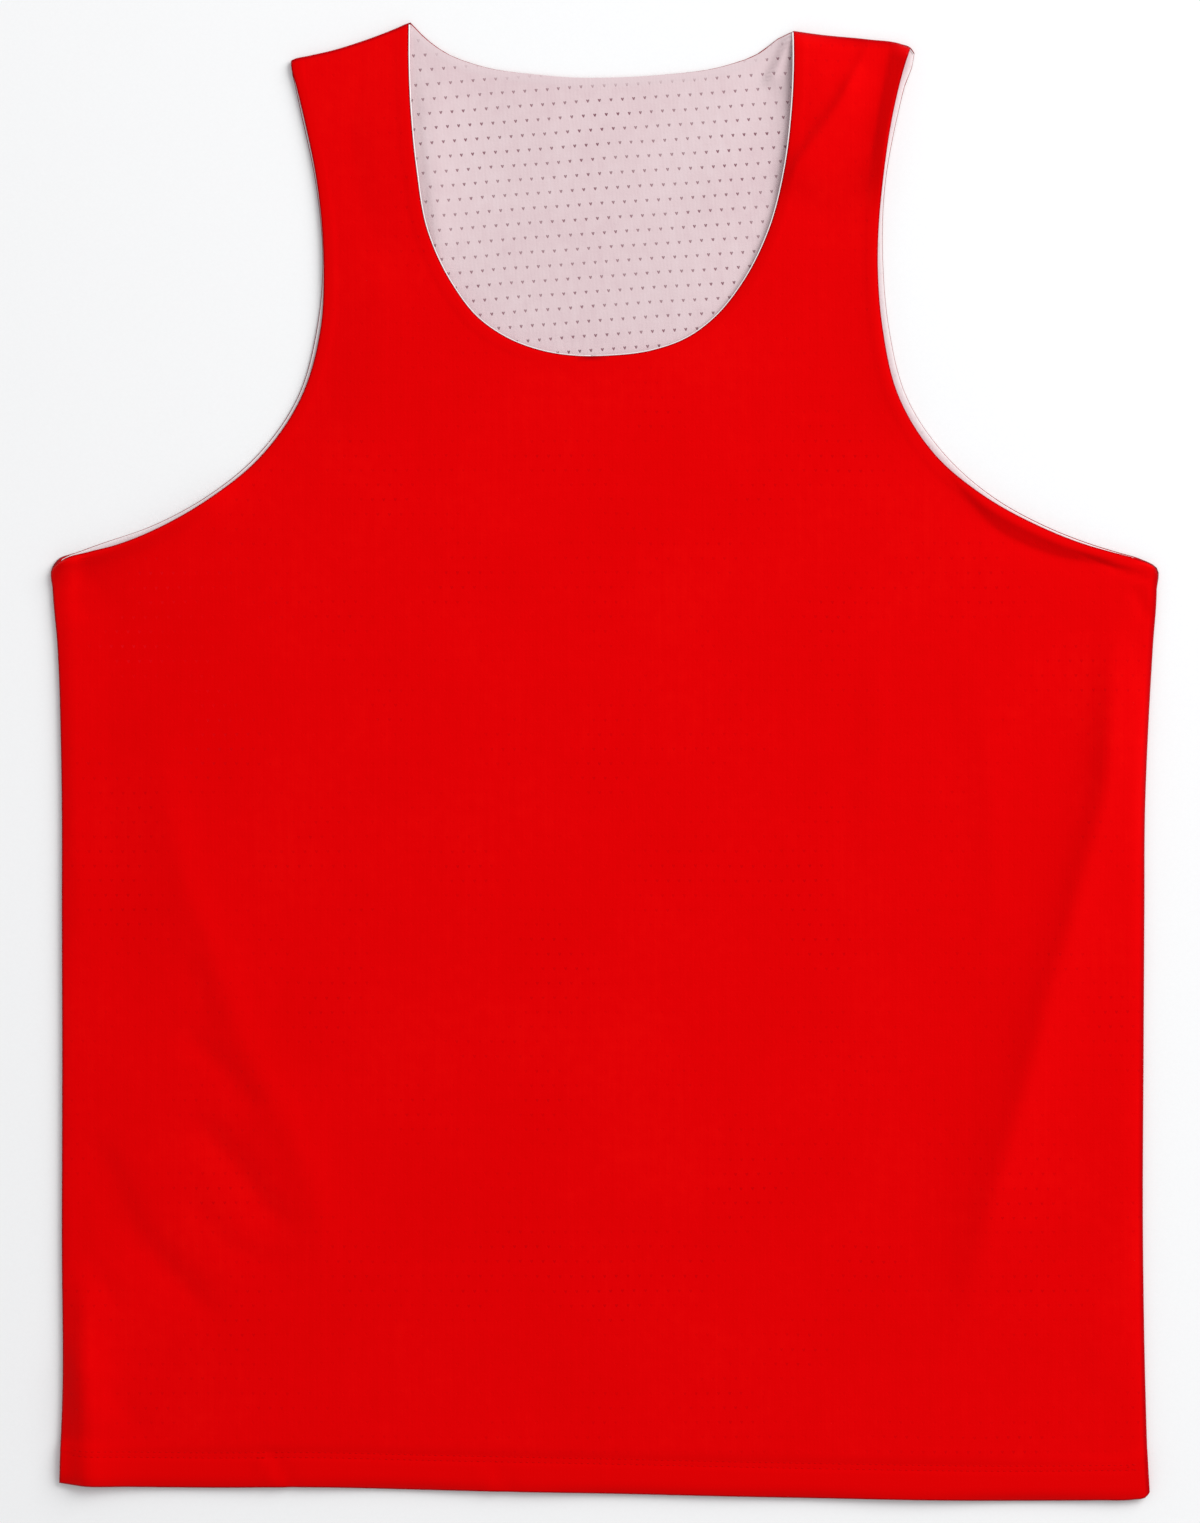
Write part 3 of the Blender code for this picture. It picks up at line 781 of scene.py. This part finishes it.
def neckPiping(panel, shape):
    # past the red edge the white one rises to its height, runs level and bends down:
    # height * step * ramp(share, climb) * (1 - ramp(share, bend))
    rise = np.zeros(shape)
    share = np.maximum(-np.array(panel["neckColumns"]), 0.0)
    bump = piping["height"] * step * ramp(share, piping["climb"]) * (1.0 - ramp(share, piping["bend"]))
    rise[:, neckRow(panel):, -len(share):] = bump
    return rise


redFrontPanel = buildPanel("redFrontPanel", redFront)
whiteFrontPanel = buildPanel("whiteFrontPanel", whiteFront)
whiteBackPanel = buildPanel("whiteBackPanel", whiteBack)
redBackPanel = buildPanel("redBackPanel", redBack)


# Hem stitching

def stitchRow(back, distance):
    # one needle line, and the distances along it at which its stitches start
    left, right = [outlines[back][half]["hem"] for half in (0, 1)]
    hem = np.vstack([left, right[::-1][1:]])
    line = hem + distance * leftNormal(np.gradient(hem, axis=0))
    run = runOf(line)
    first, last = hemStitch["inset"], run[-1] - hemStitch["inset"]
    start = np.arange(first, last - hemStitch["pitch"], hemStitch["pitch"])
    return line, start


def stitches(name, back):
    # each stitch is a thread that dives at both ends: a tube along the stations of its
    # taper, which goes into the cloth by dive * (2 s - 1)^2
    sides, stations = hemStitch["sides"], np.linspace(0.0, 1.0, len(hemStitch["taper"]))
    dive = (2 * stations - 1) ** 2
    turn = np.linspace(0, 2 * math.pi, sides, endpoint=False)
    girth, rows = hemStitch["thread"] * np.array(hemStitch["taper"]), []
    for distance in hemStitch["lines"]:
        line, start = stitchRow(back, distance)
        at = start[:, None] + stations * hemStitch["stitch"]
        plan = along(line, at)
        across = leftNormal(along(line, at + 0.5) - along(line, at - 0.5))
        if back:
            level = np.full(plan.shape[:-1], hemStitch["backRise"]) + hemStitch["backDive"] * dive
        else:
            level = frontTop(plan, edgeDistances(plan, 0)) + hemStitch["frontRise"]
            level = level - hemStitch["frontDive"] * dive
        ring = plan[..., None, :] + across[..., None, :] * (girth[:, None] * np.cos(turn))[..., None]
        height = level[..., None] + girth[:, None] * np.sin(turn)
        rows.append(np.concatenate([ring, height[..., None]], axis=-1))
    tubes = np.concatenate(rows)
    count, rings = tubes.shape[0], tubes.shape[1]
    index = np.arange(count * rings * sides).reshape(count, rings, sides)
    onward = np.roll(index, -1, axis=2)
    walls = np.stack([index[:, :-1], onward[:, :-1], onward[:, 1:], index[:, 1:]], axis=-1).reshape(-1, 4)
    caps = np.vstack([index[:, 0, ::-1], index[:, -1]])
    faces = walls[:, ::-1].tolist() + caps[:, ::-1].tolist()
    obj = meshObject(name, placed(tubes.reshape(-1, 3)), faces)
    print(name, "stitches", count)
    return obj


frontHemStitching = stitches("frontHemStitching", 0)
backHemStitching = stitches("backHemStitching", 1)


# Materials

def linear(hexColour):
    # sRGB hex to linear
    parts = [int(hexColour[k:k + 2], 16) / 255 for k in (1, 3, 5)]
    return [p / 12.92 if p <= 0.04045 else ((p + 0.055) / 1.055) ** 2.4 for p in parts] + [1.0]


def add(tree, kind, inputs=(), out=0, **settings):
    # adds a node with its settings and links, and returns one of its outputs
    node = tree.nodes.new("ShaderNode" + kind)
    for name, value in settings.items():
        setattr(node, name, value)
    for socket, value in dict(inputs).items():
        if isinstance(value, bpy.types.NodeSocket):
            tree.links.new(value, node.inputs[socket])
        elif value is not None:
            node.inputs[socket].default_value = value
    return node.outputs[out] if node.outputs else node


def calc(tree, operation, *values, **settings):
    return add(tree, "Math", enumerate(values), operation=operation, **settings)


def scaled(tree, value, factor, plus, **settings):
    return calc(tree, "MULTIPLY_ADD", value, factor, plus, **settings)


def vector(tree, operation, *values, **settings):
    return add(tree, "VectorMath", enumerate(values), operation=operation, **settings)


def blend(tree, share, one, two):
    return add(tree, "Mix", {0: share, 6: one, 7: two}, out=2, data_type="RGBA")


def spread(tree, value, span, ends=(0.0, 1.0), **settings):
    return add(tree, "MapRange", enumerate([value, *span, *ends]), **settings)


def noise(tree, place, grain, out=0):
    # grain is its scale, its detail and perhaps its roughness
    return add(tree, "TexNoise", [("Vector", place), *zip(("Scale", "Detail", "Roughness"), grain)], out=out)


def newMaterial(name):
    material = bpy.data.materials.new(name)
    material.use_nodes = True
    return material, material.node_tree, material.node_tree.nodes["Principled BSDF"]


def fillShader(shader, links, values):
    for name, socket in links.items():
        shader.id_data.links.new(socket, shader.inputs[name])
    for name, value in values.items():
        shader.inputs[name].default_value = value


toMillimetres = (1000, 1000, 1000)

# The lattice of small holes, knitted into the mesh: staggered rows, each hole a
# little V.  The wales are drawn at a third of the holes' pitch, which is coarser
# than the real loops, so that they show.
meshKnit = {
    "pitch": 5.75,            # mm between holes along a row
    "rowPitch": 7.42,         # mm between rows
    "lobe": (0.42, 0.36),     # top end of each stroke of the V, from the middle
    "tip": (0.0, -0.55),
    "stroke": (0.15, 0.5),    # distances from its middle line at which it starts to fade and is gone
    "walePitch": 1.917,
    "coursePitch": 1.855,
    "bumpDistance": 0.0003,
    "sheen": (0.1, 0.5),      # weight and roughness
    # noises: scale per mm, detail, roughness
    "drift": (0.028, 1.0),    # pulls the lattice about, by driftReach
    "driftReach": (1.6, 1.6, 0),
    "patches": (0.02, 2.0),   # where the holes show, and the range that patchSpan picks
    "patchSpan": (0.48, 0.72),
    "cloud": (0.012, 3.0, 0.55),
    "streak": (0.42, 2.0),    # stretched along the wales by streakShape
    "streakShape": (1.0, 0.035, 1.0),
    "mottle": (0.16, 2.0),
    "mottleShare": 0.6,
    "streakWeight": (0.55, 0.22),
    "cloudWeight": 0.6,
    "shadeSpan": (0.66, 0.82),
    "brightSpan": (0.82, 1.0),
    "roughSpan": (0.5, 1.1),
    "fuzz": (0.9, 3.0),
    "fuzzHeight": 0.5,
    "glowCentre": (-222.0, 432.0),     # the left armpit, where the holes show painted light
    "glowReach": (30.0, 75.0),
}

redMesh = {                   # piece-dyed polyester mesh: deep even red, matte, a faint gloss on its loops
    "base": "#e00003",
    "shade": "#dd0002",
    "bright": "#e40304",
    "doubled": "#de0002",     # over a seam allowance or hem, where no white shows through
    # painted shade along the edges, darkest at them
    "rim": "#900008",
    # painted shade in the holes
    "hole": "#c00006",
    "glow": "#e01018",        # painted light: the white shell lit through the holes
    "holeStrength": (0.0, 0.65),
    "holeDepth": 0.4,
    "waleHeight": 0.05,
    "reliefStrength": 0.35,
    "roughness": (0.62, 0.8),
    "turn": 0.0,
    "bow": 0.0,
    "origin": (236.0, 441.0),
    "gloss": 0.12,
    "tint": (1.0, 0.05, 0.05, 1.0),
}
redBackMesh = dict(redMesh, rim="#8a3a3e")      # the edge that shows past the white: a little fuzz, darkened by a painted shadow
whiteMesh = {                 # white polyester mesh that takes on a pink cast from the red behind it
    "base": "#dcc5c8",
    "shade": "#d7bec2",
    "bright": "#e0cbce",
    "doubled": "#dac5c8",
    # painted highlight on the white piping and armhole strips
    "rim": "#f6eeee",
    # the red back seen through the holes, darkened by painted shade
    "hole": "#80505c",
    "glow": "#80505c",
    "holeStrength": (0.7, 1.0),
    "holeDepth": 1.0,
    "waleHeight": 0.04,
    "reliefStrength": 0.5,
    "roughness": (0.66, 0.84),
    "turn": 4.6,              # degrees that the rows rise to the right
    "bow": 0.000065,          # and how they flatten, per mm
    "origin": (-74.9, 712.4),
    "gloss": 0.25,
    "tint": (1.0, 0.93, 0.94, 1.0),
}


def meshMaterial(name, look):
    material, tree, shader = newMaterial(name)
    knit = meshKnit
    tone = {key: linear(look[key]) for key in ("base", "shade", "bright", "doubled", "rim", "hole", "glow")}

    cloth = add(tree, "UVMap", uv_map="cloth")
    x0, y0 = look["origin"]
    toMm = vector(tree, "MULTIPLY_ADD", cloth, toMillimetres, (-x0, -y0, 0))
    turned = add(tree, "VectorRotate", {"Vector": toMm, "Angle": -math.radians(look["turn"])},
                 rotation_type="Z_AXIS")
    drift = vector(tree, "ADD", noise(tree, toMm, knit["drift"], out=1), (-0.5, -0.5, -0.5))
    warped = vector(tree, "MULTIPLY_ADD", drift, knit["driftReach"], turned)
    across = add(tree, "SeparateXYZ", {0: warped})
    up = across.node.outputs[1]
    up = scaled(tree, calc(tree, "MULTIPLY", across, across), look["bow"], up)

    # Place in the repeat, from the middle of the nearest hole, in mm
    pitch, rowPitch = knit["pitch"], knit["rowPitch"]
    rows = scaled(tree, up, 1 / rowPitch, 0.5)
    stagger = calc(tree, "FLOORED_MODULO", calc(tree, "FLOOR", rows), 2.0)
    inRow = scaled(tree, across, 1 / pitch, 0.5)
    inRow = scaled(tree, stagger, 0.5, inRow)
    cell = calc(tree, "ADD", calc(tree, "FRACT", inRow), -0.5)
    mirrored = calc(tree, "ABSOLUTE", cell)
    rise = scaled(tree, calc(tree, "FRACT", rows), rowPitch, -0.5 * rowPitch)

    # Distance to the stroke from the lobe to the tip: |p - lobe - t (tip - lobe)|
    (lobeX, lobeY), (tipX, tipY) = knit["lobe"], knit["tip"]
    stepX, stepY = tipX - lobeX, tipY - lobeY
    size = stepX**2 + stepY**2
    px = scaled(tree, mirrored, pitch, -lobeX)
    py = calc(tree, "ADD", rise, -lobeY)
    t = calc(tree, "MULTIPLY", px, stepX / size)
    t = scaled(tree, py, stepY / size, t, use_clamp=True)
    offX = scaled(tree, t, -stepX, px)
    offY = scaled(tree, t, -stepY, py)
    away = vector(tree, "LENGTH", add(tree, "CombineXYZ", {0: offX, 1: offY}), out=1)
    hole = spread(tree, away, knit["stroke"], (1.0, 0.0), interpolation_type="SMOOTHSTEP")
    doubled = add(tree, "Attribute", attribute_name="doubled", out=2)
    # how much painted edge shading each point gets
    rim = add(tree, "Attribute", attribute_name="rim", out=2)
    patchy = spread(tree, noise(tree, toMm, knit["patches"]), knit["patchSpan"], look["holeStrength"])
    shown = calc(tree, "MULTIPLY", hole, calc(tree, "SUBTRACT", 1.0, doubled))
    tint = calc(tree, "MULTIPLY", shown, patchy)

    # Colour: cloudy dye, slight streaks along the wales, then the holes with their painted shade and painted
    # light, then painted shading at the edges
    streak = noise(tree, vector(tree, "MULTIPLY", warped, knit["streakShape"]), knit["streak"])
    streak = add(tree, "Mix", {0: knit["mottleShare"], 2: streak, 3: noise(tree, toMm, knit["mottle"])})
    mixed = scaled(tree, streak, *knit["streakWeight"])
    mixed = scaled(tree, noise(tree, toMm, knit["cloud"]), knit["cloudWeight"], mixed)
    colour = blend(tree, spread(tree, mixed, knit["shadeSpan"]), tone["shade"], tone["base"])
    colour = blend(tree, spread(tree, mixed, knit["brightSpan"]), colour, tone["bright"])
    colour = blend(tree, doubled, colour, tone["doubled"])
    # in the holes: painted shade, and near the left armpit painted light of the lit white shell under them
    glowX, glowY = knit["glowCentre"]
    fromArmpit = vector(tree, "DISTANCE", toMm, (glowX - x0, glowY - y0, 0.0), out=1)
    nearArmpit = spread(tree, fromArmpit, knit["glowReach"], (1.0, 0.0))
    colour = blend(tree, tint, colour, blend(tree, nearArmpit, tone["hole"], tone["glow"]))
    # painted shading at the edges: painted shade on red, a painted highlight on white
    colour = blend(tree, rim, colour, tone["rim"])

    # Relief: wales and courses of the loops, a little fuzz, and the holes
    wale = calc(tree, "SINE", calc(tree, "MULTIPLY", across, 2 * math.pi / knit["walePitch"]))
    course = calc(tree, "SINE", calc(tree, "MULTIPLY", up, 2 * math.pi / knit["coursePitch"]))
    relief = calc(tree, "MULTIPLY", wale, look["waleHeight"])
    relief = scaled(tree, course, look["waleHeight"] / 2, relief)
    relief = scaled(tree, noise(tree, toMm, knit["fuzz"]), knit["fuzzHeight"], relief)
    relief = scaled(tree, shown, -look["holeDepth"], relief)
    bump = add(tree, "Bump", {
        "Height": relief, "Strength": look["reliefStrength"], "Distance": knit["bumpDistance"]})

    fillShader(shader, {
        "Base Color": colour,
        "Roughness": spread(tree, mixed, knit["roughSpan"], look["roughness"]),
        "Normal": bump,
    }, {
        "Specular IOR Level": look["gloss"],
        "Specular Tint": look["tint"],
        "Sheen Weight": knit["sheen"][0],
        "Sheen Roughness": knit["sheen"][1],
        "Sheen Tint": look["tint"],
    })
    return material


threadLook = {                # spun polyester thread: the same red, a little glossier than the mesh
    "base": "#da0003",
    # painted shade in the grooves between the plies
    "dark": "#cc0003",
    "twist": 0.5,             # mm along the thread for a turn of its plies, coarser than real
    "roughness": (0.6, 0.5),  # between the plies and on them
    "bump": (0.4, 0.00008),   # strength and distance
    "gloss": 0.2,
    "tint": (1.0, 0.1, 0.1, 1.0),
}


def threadMaterial(name, look):
    material, tree, shader = newMaterial(name)
    toMm = vector(tree, "MULTIPLY", add(tree, "TexCoord", out=3), toMillimetres)
    across = add(tree, "SeparateXYZ", {0: toMm})
    slant = scaled(tree, across.node.outputs[1], 1.0, across)
    ply = calc(tree, "SINE", calc(tree, "MULTIPLY", slant, 2 * math.pi / look["twist"]))
    # 0 in the grooves between the plies, where the painted shade lies
    share = spread(tree, ply, (-1.0, 1.0))
    strength, distance = look["bump"]
    fillShader(shader, {
        "Base Color": blend(tree, share, linear(look["dark"]), linear(look["base"])),
        "Roughness": spread(tree, ply, (-1.0, 1.0), look["roughness"]),
        "Normal": add(tree, "Bump", {"Height": ply, "Strength": strength, "Distance": distance}),
    }, {
        "Specular IOR Level": look["gloss"],
        "Specular Tint": look["tint"],
    })
    return material


redCloth = meshMaterial("redPolyesterMesh", redMesh)
redBackCloth = meshMaterial("redPolyesterMeshBack", redBackMesh)
whiteCloth = meshMaterial("whitePolyesterMesh", whiteMesh)
redThread = threadMaterial("redSpunThread", threadLook)
for piece, cloth in ((redFrontPanel, redCloth), (redBackPanel, redBackCloth),
                     (whiteFrontPanel, whiteCloth), (whiteBackPanel, whiteCloth),
                     (frontHemStitching, redThread), (backHemStitching, redThread)):
    piece.data.materials.append(cloth)
print("materials ready")

# Floor, light and camera

studio = {
    "floorSize": 9.0,         # metres
    "floorDrop": 0.0004,      # just under the cloth
    "floorColours": ("#f4f4f4", "#f8f8f8"),
    "floorGrain": (900.0, 2.0),
    "floorRoughness": 0.9,
    "floorGloss": 0.1,
    "domeStrength": 0.61,
    "domeColour": "#f4f5f7",
    "lampAzimuth": 38.0,      # degrees from +X towards +Y
    "lampHeight": 35.0,       # degrees above the floor
    "lampDistance": 4.0,
    "lampSize": 3.0,
    "lampPower": 152.0,
    "cameraHeight": 2.6,      # metres above the cloth
    "viewHeight": 0.7718,     # metres of the surface that the picture is high
    "viewCentre": (-0.00228, 0.00025),
    "sensor": 36.0,
}


def buildFloor():
    half = studio["floorSize"] / 2
    corners = [(-half, -half), (half, -half), (half, half), (-half, half)]
    mesh = bpy.data.meshes.new("studioFloor")
    mesh.from_pydata([(x, y, -studio["floorDrop"]) for x, y in corners], [], [(0, 1, 2, 3)])
    floor = linked("studioFloor", mesh)
    material, tree, shader = newMaterial("palePaper")     # matte paper sweep, a hint of tooth
    grain = noise(tree, add(tree, "TexCoord", out=3), studio["floorGrain"])
    tone = blend(tree, grain, *map(linear, studio["floorColours"]))
    fillShader(shader, {"Base Color": tone}, {
        "Roughness": studio["floorRoughness"],
        "Specular IOR Level": studio["floorGloss"],
    })
    mesh.materials.append(material)
    return floor


def buildLight():
    world = bpy.data.worlds.new("studioDome")
    bpy.context.scene.world = world
    world.use_nodes = True
    background = world.node_tree.nodes["Background"]
    background.inputs[0].default_value = linear(studio["domeColour"])
    background.inputs[1].default_value = studio["domeStrength"]
    lamp = bpy.data.lights.new("softBox", "AREA")
    lamp.shape = "SQUARE"
    lamp.size = studio["lampSize"]
    lamp.energy = studio["lampPower"]
    box = linked("softBox", lamp)
    box.visible_camera = False
    azimuth, height = math.radians(studio["lampAzimuth"]), math.radians(studio["lampHeight"])
    flat = studio["lampDistance"] * math.cos(height)
    box.location = (flat * math.cos(azimuth), flat * math.sin(azimuth),
                    studio["lampDistance"] * math.sin(height))
    box.rotation_euler = (0.0, math.pi / 2 - height, azimuth)


def buildCamera():
    lens = bpy.data.cameras.new("overhead")
    lens.sensor_fit = "VERTICAL"
    lens.sensor_height = studio["sensor"]
    lens.lens = studio["sensor"] * studio["cameraHeight"] / studio["viewHeight"]
    camera = linked("overhead", lens)
    x, y = studio["viewCentre"]
    camera.location = (x, y, studio["cameraHeight"] + stack * millimetre)
    bpy.context.scene.camera = camera


floor = buildFloor()
buildLight()
buildCamera()
bpy.context.scene.view_settings.view_transform = "Standard"
print("studio ready")

# The frame: each piece is attached to the root body and hides the CAD part that it stands for

pieces = (                    # piece, node, slot, what it lies on, pieces on it
    (redBackPanel, "back_outer", "red_mesh_back", [floor], [backHemStitching]),
    (whiteBackPanel, "back_inner", "white_mesh_back", [redBackPanel], []),
    (whiteFrontPanel, "front_inner", "white_mesh", [whiteBackPanel], []),
    (redFrontPanel, "front_outer", "red_mesh", [whiteFrontPanel], [frontHemStitching]),
)
for piece, node, slot, under, extra in pieces:
    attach(piece, "root")
    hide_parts(node)
for piece, slot in ((frontHemStitching, "red_mesh"), (backHemStitching, "red_mesh_back")):
    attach(piece, "root")
